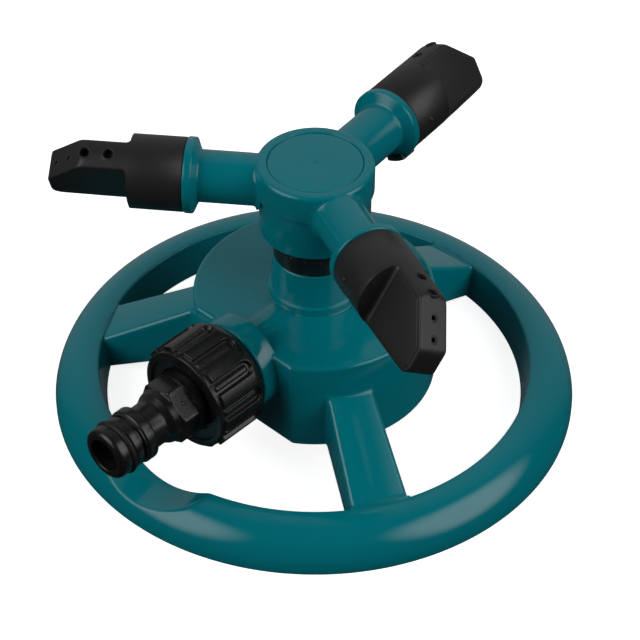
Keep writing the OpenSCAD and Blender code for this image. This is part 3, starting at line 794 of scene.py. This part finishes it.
# ------------------------------------------------------------------ CAD nodes shown as they are
SHOWN_AS_CAD = (
    (RUBBER, ["nipple_o_ring", "inlet_washer", "spindle_seal", "rotor_seal"]),
    (RUBBER, [f"nozzle_seal_{number}" for number in (1, 2, 3)]),
    (ACETAL, ["pivot_spindle", "lower_thrust_washer", "upper_thrust_washer"]),
    (STEEL, ["retaining_clip"]),
)
for finish, names in SHOWN_AS_CAD:
    for name in names:
        for material_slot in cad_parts[name].material_slots:
            material_slot.material = finish


# ------------------------------------------------------------------ floor, light and camera
# The point in metres that the lights and the camera look at.
MIDDLE = Vector((0, 0, 0.04))


def floor():
    """White matt floor, large enough to leave no edge in view."""
    half = 6.0
    corners = [(-half, -half, 0), (half, -half, 0), (half, half, 0), (-half, half, 0)]
    mesh = bpy.data.meshes.new("floor")
    mesh.from_pydata(corners, [], [(0, 1, 2, 3)])
    material, tree = new_material("white paper, matt")
    shader = tree.nodes["Principled BSDF"]
    shader.inputs["Base Color"].default_value = (0.9, 0.9, 0.9, 1)
    shader.inputs["Emission Color"].default_value = (1, 1, 1, 1)
    shader.inputs["Emission Strength"].default_value = 0.85
    shader.inputs["Roughness"].default_value = 0.9
    mesh.materials.append(material)
    obj = bpy.data.objects.new("floor", mesh)
    bpy.context.collection.objects.link(obj)
    obj.visible_glossy = False
    obj.visible_diffuse = False


def towards(azimuth, elevation):
    """Unit vector out from the object; azimuth 0 is -Y, along the hose, and 90 is +X."""
    a = math.radians(azimuth)
    e = math.radians(elevation)
    return Vector((math.sin(a) * math.cos(e), -math.cos(a) * math.cos(e), math.sin(e)))


def softbox(name, azimuth, elevation, distance, radius, strength):
    """Round sheet of light, fading towards its rim, that looks at the middle of the object."""
    count = 48
    a = full_turn(count)
    rim = np.concatenate([radius * np.cos(a), radius * np.sin(a), 0 * a], -1)
    mesh = bpy.data.meshes.new(name)
    mesh.from_pydata(rim.tolist(), [], [list(range(count))])
    material, tree = new_material(name + " diffuser cloth")
    tree.nodes.clear()
    place = add_node(tree, "ShaderNodeTexCoord")
    off_centre = add_node(tree, "ShaderNodeVectorMath", operation="LENGTH")
    fade = add_node(
        tree, "ShaderNodeMapRange", interpolation_type="SMOOTHSTEP",
        From_Min=0.4 * radius, From_Max=radius, To_Min=strength, To_Max=0.0,
    )
    glow = add_node(tree, "ShaderNodeEmission")
    out = add_node(tree, "ShaderNodeOutputMaterial")
    tree.links.new(place.outputs["Object"], off_centre.inputs[0])
    tree.links.new(off_centre.outputs["Value"], fade.inputs["Value"])
    tree.links.new(fade.outputs["Result"], glow.inputs["Strength"])
    tree.links.new(glow.outputs["Emission"], out.inputs["Surface"])
    mesh.materials.append(material)
    obj = bpy.data.objects.new(name, mesh)
    back = towards(azimuth, elevation)
    obj.location = MIDDLE + back * distance
    obj.rotation_euler = (-back).to_track_quat("-Z", "Y").to_euler()
    obj.visible_camera = False
    bpy.context.collection.objects.link(obj)


def studio():
    """Dark surround that grows lighter overhead and behind, and large soft lights."""
    world = bpy.data.worlds.new("studio")
    bpy.context.scene.world = world
    world.use_nodes = True
    tree = world.node_tree
    background = tree.nodes["Background"]
    place = add_node(tree, "ShaderNodeTexCoord")
    facing = add_node(tree, "ShaderNodeVectorMath", operation="DOT_PRODUCT")
    facing.inputs[1].default_value = (-0.63, 0.675, 0.38)
    ramp = add_node(tree, "ShaderNodeMapRange", From_Min=0.4, From_Max=0.95, To_Min=0.02, To_Max=0.35)
    tree.links.new(place.outputs["Generated"], facing.inputs[0])
    tree.links.new(facing.outputs["Value"], ramp.inputs["Value"])
    tree.links.new(ramp.outputs["Result"], background.inputs["Strength"])
    background.inputs["Color"].default_value = (1, 1, 1, 1)
    for name, azimuth in (("left softbox", -22), ("right softbox", 110)):
        softbox(name, azimuth, elevation=33, distance=1.3, radius=0.85, strength=2.3)


def camera():
    """Camera at the azimuth, height and distance the original was seen from."""
    azimuth, elevation, roll = 43, 41.01, 0.34
    distance = 0.712
    lens = bpy.data.cameras.new("camera")
    lens.lens = 127.07
    lens.sensor_width = 36
    lens.shift_x = 0.0084
    lens.shift_y = -0.048
    lens.clip_start = 0.05
    obj = bpy.data.objects.new("camera", lens)
    back = towards(azimuth, elevation)
    aim = (-back).to_track_quat("-Z", "Y").to_matrix().to_4x4()
    tilt = Matrix.Rotation(math.radians(roll), 4, "Z")
    obj.matrix_world = Matrix.Translation(MIDDLE + back * distance) @ aim @ tilt
    bpy.context.collection.objects.link(obj)
    bpy.context.scene.camera = obj


floor()
studio()
camera()
bpy.context.scene.view_settings.view_transform = "Standard"
